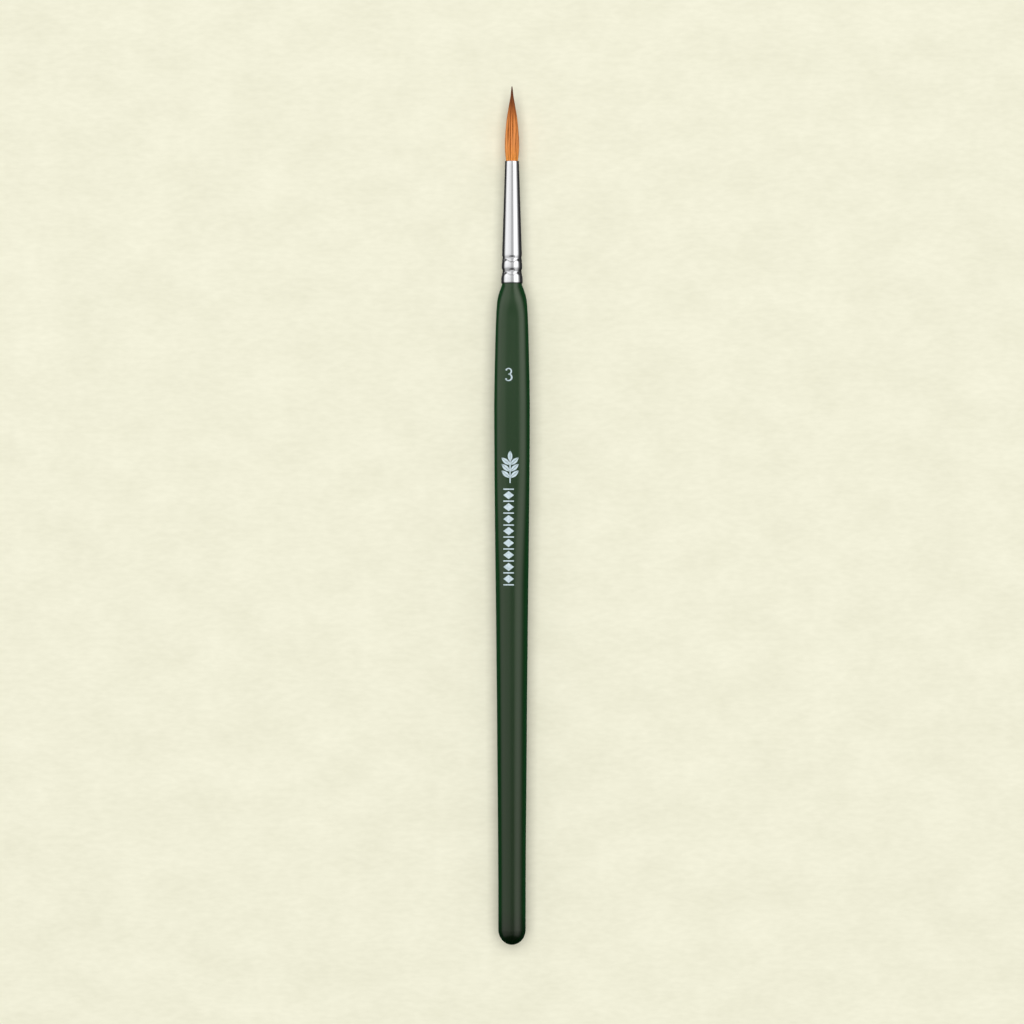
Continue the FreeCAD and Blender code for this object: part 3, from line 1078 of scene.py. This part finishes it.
def make_cast(name, clear, cloudy, roughness):
    """Hardened glue or resin: amber, a little cloudy, with bubbles at its surface."""
    material, tree, shader = finish(name, IOR=1.52)
    cloud = grained(tree, 800.0)
    bubbles = specked(tree, 1600.0, 0.35, 0.25)
    wire(
        tree, shader,
        Base_Color=between(tree, cloud, clear, cloudy),
        Roughness=stretch(tree, cloud, 0.3, 0.7, roughness, roughness + 0.12),
        Normal=raised(tree, calculate(tree, "MULTIPLY", bubbles, -1.0), 0.00003),
    )
    return material


def make_thread():
    """Slanting bands for the twisted plies."""
    material, tree, shader = finish("thread", Sheen_Weight=0.3)
    spot = add(tree, "ShaderNodeTexCoord").outputs["Object"]
    plies = add(tree, "ShaderNodeTexWave", {"Vector": spot, "Scale": 900.0, "Distortion": 1.5},
                bands_direction="DIAGONAL").outputs["Fac"]
    wire(
        tree, shader,
        Base_Color=between(tree, plies, (0.60, 0.56, 0.47), (0.86, 0.83, 0.75)),
        Roughness=stretch(tree, plies, 0.0, 1.0, 0.85, 0.65),
        Normal=raised(tree, plies, 0.00002),
    )
    return material


INNER = {
    "handle_core": make_birch(),
    "primer_coat": make_primer(),
    "tenon_glue": make_cast("wood_glue", (0.72, 0.60, 0.36), (0.80, 0.72, 0.52), 0.3),
    "resin_plug": make_cast("epoxy", (0.42, 0.24, 0.07), (0.60, 0.42, 0.18), 0.12),
    "binding_thread": make_thread(),
}
for node, material in INNER.items():
    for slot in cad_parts[node].material_slots:
        slot.material = material
print("inner pieces finished:", ", ".join(INNER))

# %% [markdown]
# ## The paper it lies on
# A sheet of cream felt-marked paper under the whole scene, wide enough to reach the
# horizon of a low camera. Its tone drifts a little and its fibres are just visible.
# Polished metal on a table reflects the dark of the room at its edges: the sheet is
# left out of reflections to keep those dark edges.

# %% Paper
PAPER_LIGHT, PAPER_SHADE = (0.878, 0.862, 0.696), (0.748, 0.733, 0.572)
PAPER_SIDE = 4.0


def make_paper():
    """Cream, with fibres and a slow felt mark in colour and height."""
    material, tree, shader = finish("cream_paper", Specular_IOR_Level=0.1)
    fibres = grained(tree, 1100.0, (0.4, 1.0, 1.0), 3.0)
    felt = grained(tree, 120.0, (0.7, 1.0, 1.0), 4.0)
    tone = calculate(tree, "MULTIPLY_ADD", fibres, 0.45, calculate(tree, "MULTIPLY", felt, 0.55))
    wire(
        tree, shader,
        Base_Color=between(tree, stretch(tree, tone, 0.2, 0.8, 0.0, 1.0), PAPER_SHADE, PAPER_LIGHT),
        Roughness=stretch(tree, fibres, 0.3, 0.7, 0.85, 0.95),
        Normal=raised(tree, tone, 0.00002),
    )
    return material


def make_sheet_of_paper():
    """A flat grid, which needs no thickness because nothing looks at it from below."""
    count = 9
    x = np.linspace(-PAPER_SIDE / 2, PAPER_SIDE / 2, count)
    points = np.stack(np.broadcast_arrays(x[None, :], x[:, None], 0.0), axis=-1)
    mesh = bpy.data.meshes.new("paper_sheet")
    index = np.arange(count * count).reshape(count, count)
    corners = [index[:-1, :-1], index[:-1, 1:], index[1:, 1:], index[1:, :-1]]
    faces = np.stack(corners, axis=-1).reshape(-1, 4).tolist()
    mesh.from_pydata(points.reshape(-1, 3).tolist(), [], faces)
    sheet = bpy.data.objects.new("paper_sheet", mesh)
    bpy.context.scene.collection.objects.link(sheet)
    sheet.data.materials.append(make_paper())
    sheet.visible_glossy = False
    return sheet


paper_sheet = make_sheet_of_paper()

# %% [markdown]
# ## Light
# A still-life photographer lays such an object under a large soft box and stands a pale
# card on each side, longer than the brush. The cards are what polished metal shows: a
# band of light down each side, a greyer stripe between them where the camera is, and
# dark beyond the table's edge. The soft box gives the shadow. Here the sky holds the
# cards, for reflections only, and a lamp that reflections leave out is the soft box.

# %% Cards in the sky
CARDS = [
    (-180, 0.035), (-101, 0.035), (-92, 0.66), (-76, 1.02), (-58, 1.00), (-38, 0.90), (-18, 0.80),
    (-6, 0.44), (2, 0.54), (8, 0.40), (14, 0.45), (26, 1.25), (48, 1.50), (66, 1.10), (80, 0.40),
    (93, 0.09), (104, 0.035), (180, 0.035),
]
CARD_ENDS = [
    (-1.0, 0.03), (-0.72, 0.04), (-0.55, 0.40), (-0.32, 0.46), (-0.16, 0.53), (-0.05, 0.76),
    (0.0, 1.0), (0.06, 1.10), (0.3, 1.25), (1.0, 1.1),
]
ROOM_LIGHT = 0.326
HORIZON = (0.88, 0.863, 0.687)


def greys(stops, low, high):
    """Ramp stops for brightnesses at places between low and high."""
    return [((at - low) / (high - low), (light,) * 3) for at, light in stops]


def make_sky():
    """What reflections see: a brightness for the angle from straight up, to left or right,
    times one for how far towards the hair or the butt the direction leans."""
    world = bpy.data.worlds.new("studio")
    world.use_nodes = True
    tree = world.node_tree
    tree.nodes.clear()
    direction = add(tree, "ShaderNodeTexCoord").outputs["Generated"]
    parts = add(tree, "ShaderNodeSeparateXYZ", {"Vector": direction}).outputs
    angle = calculate(tree, "ARCTAN2", parts["X"], parts["Z"])
    share = calculate(tree, "MULTIPLY_ADD", angle, 1 / FULL_TURN, 0.5)
    lean = calculate(tree, "MULTIPLY_ADD", parts["Y"], 0.5, 0.5)
    cards = calculate(
        tree, "MULTIPLY",
        ramp(tree, share, greys(CARDS, -180, 180)),
        ramp(tree, lean, greys(CARD_ENDS, -1, 1)),
    )
    rays = add(tree, "ShaderNodeLightPath").outputs
    seen = between(tree, rays["Is Glossy Ray"], (ROOM_LIGHT,) * 3, cards)
    seen = between(tree, rays["Is Camera Ray"], seen, HORIZON)
    background = add(tree, "ShaderNodeBackground", {"Color": seen, "Strength": 1.0})
    add(tree, "ShaderNodeOutputWorld", {"Surface": background.outputs[0]})
    return world


bpy.context.scene.world = make_sky()
print("sky:", len(CARDS), "stops round the brush,", len(CARD_ENDS), "along it")

# %% [markdown]
# ### The soft box
# The lamp is about as wide as it is high above the table, which gives the soft, close
# shadow of a large light. It is placed a little towards the tip.

# %% Soft box
BOX_HEIGHT, BOX_SIDE, BOX_POWER, BOX_FORWARD = 1.6, 1.66, 26.4, 0.15


def make_soft_box():
    """A square lamp above the brush that neither the camera nor reflections see."""
    light = bpy.data.lights.new("soft_box", "AREA")
    light.shape = "SQUARE"
    light.size = BOX_SIDE
    light.energy = BOX_POWER
    lamp = bpy.data.objects.new("soft_box", light)
    lamp.location = (0, BOX_FORWARD, BOX_HEIGHT)
    lamp.visible_glossy = False
    lamp.visible_camera = False
    bpy.context.scene.collection.objects.link(lamp)
    return lamp


soft_box = make_soft_box()
print("soft box", soft_box.data.size, "m wide at", tuple(soft_box.location))

# %% [markdown]
# ## Camera
# The brush is seen from straight above through a long lens, tip away from the viewer,
# with as much paper above the tip as a page would leave.

# %% Camera above the brush
FRAME_WIDTH = 0.2147
LENS, SENSOR, CLIP_END = 200.0, 36.0, 10.0
ABOVE_MIDDLE = 0.00073


def make_camera():
    """A long lens straight above, as high as shows the frame's width."""
    camera = bpy.data.cameras.new("camera")
    camera.lens = LENS
    camera.sensor_width = SENSOR
    camera.clip_end = CLIP_END
    holder = bpy.data.objects.new("camera", camera)
    middle = (cad_low[1] + cad_high[1]) / 2
    height = LINE_Z + FRAME_WIDTH / 2 * LENS / (SENSOR / 2)
    holder.location = (LINE_X, middle + ABOVE_MIDDLE, height)
    bpy.context.scene.collection.objects.link(holder)
    return holder


bpy.context.scene.camera = make_camera()
print("camera at", tuple(bpy.context.scene.camera.location))
bpy.context.scene.view_settings.view_transform = "Standard"
bpy.context.scene.view_settings.look = "None"
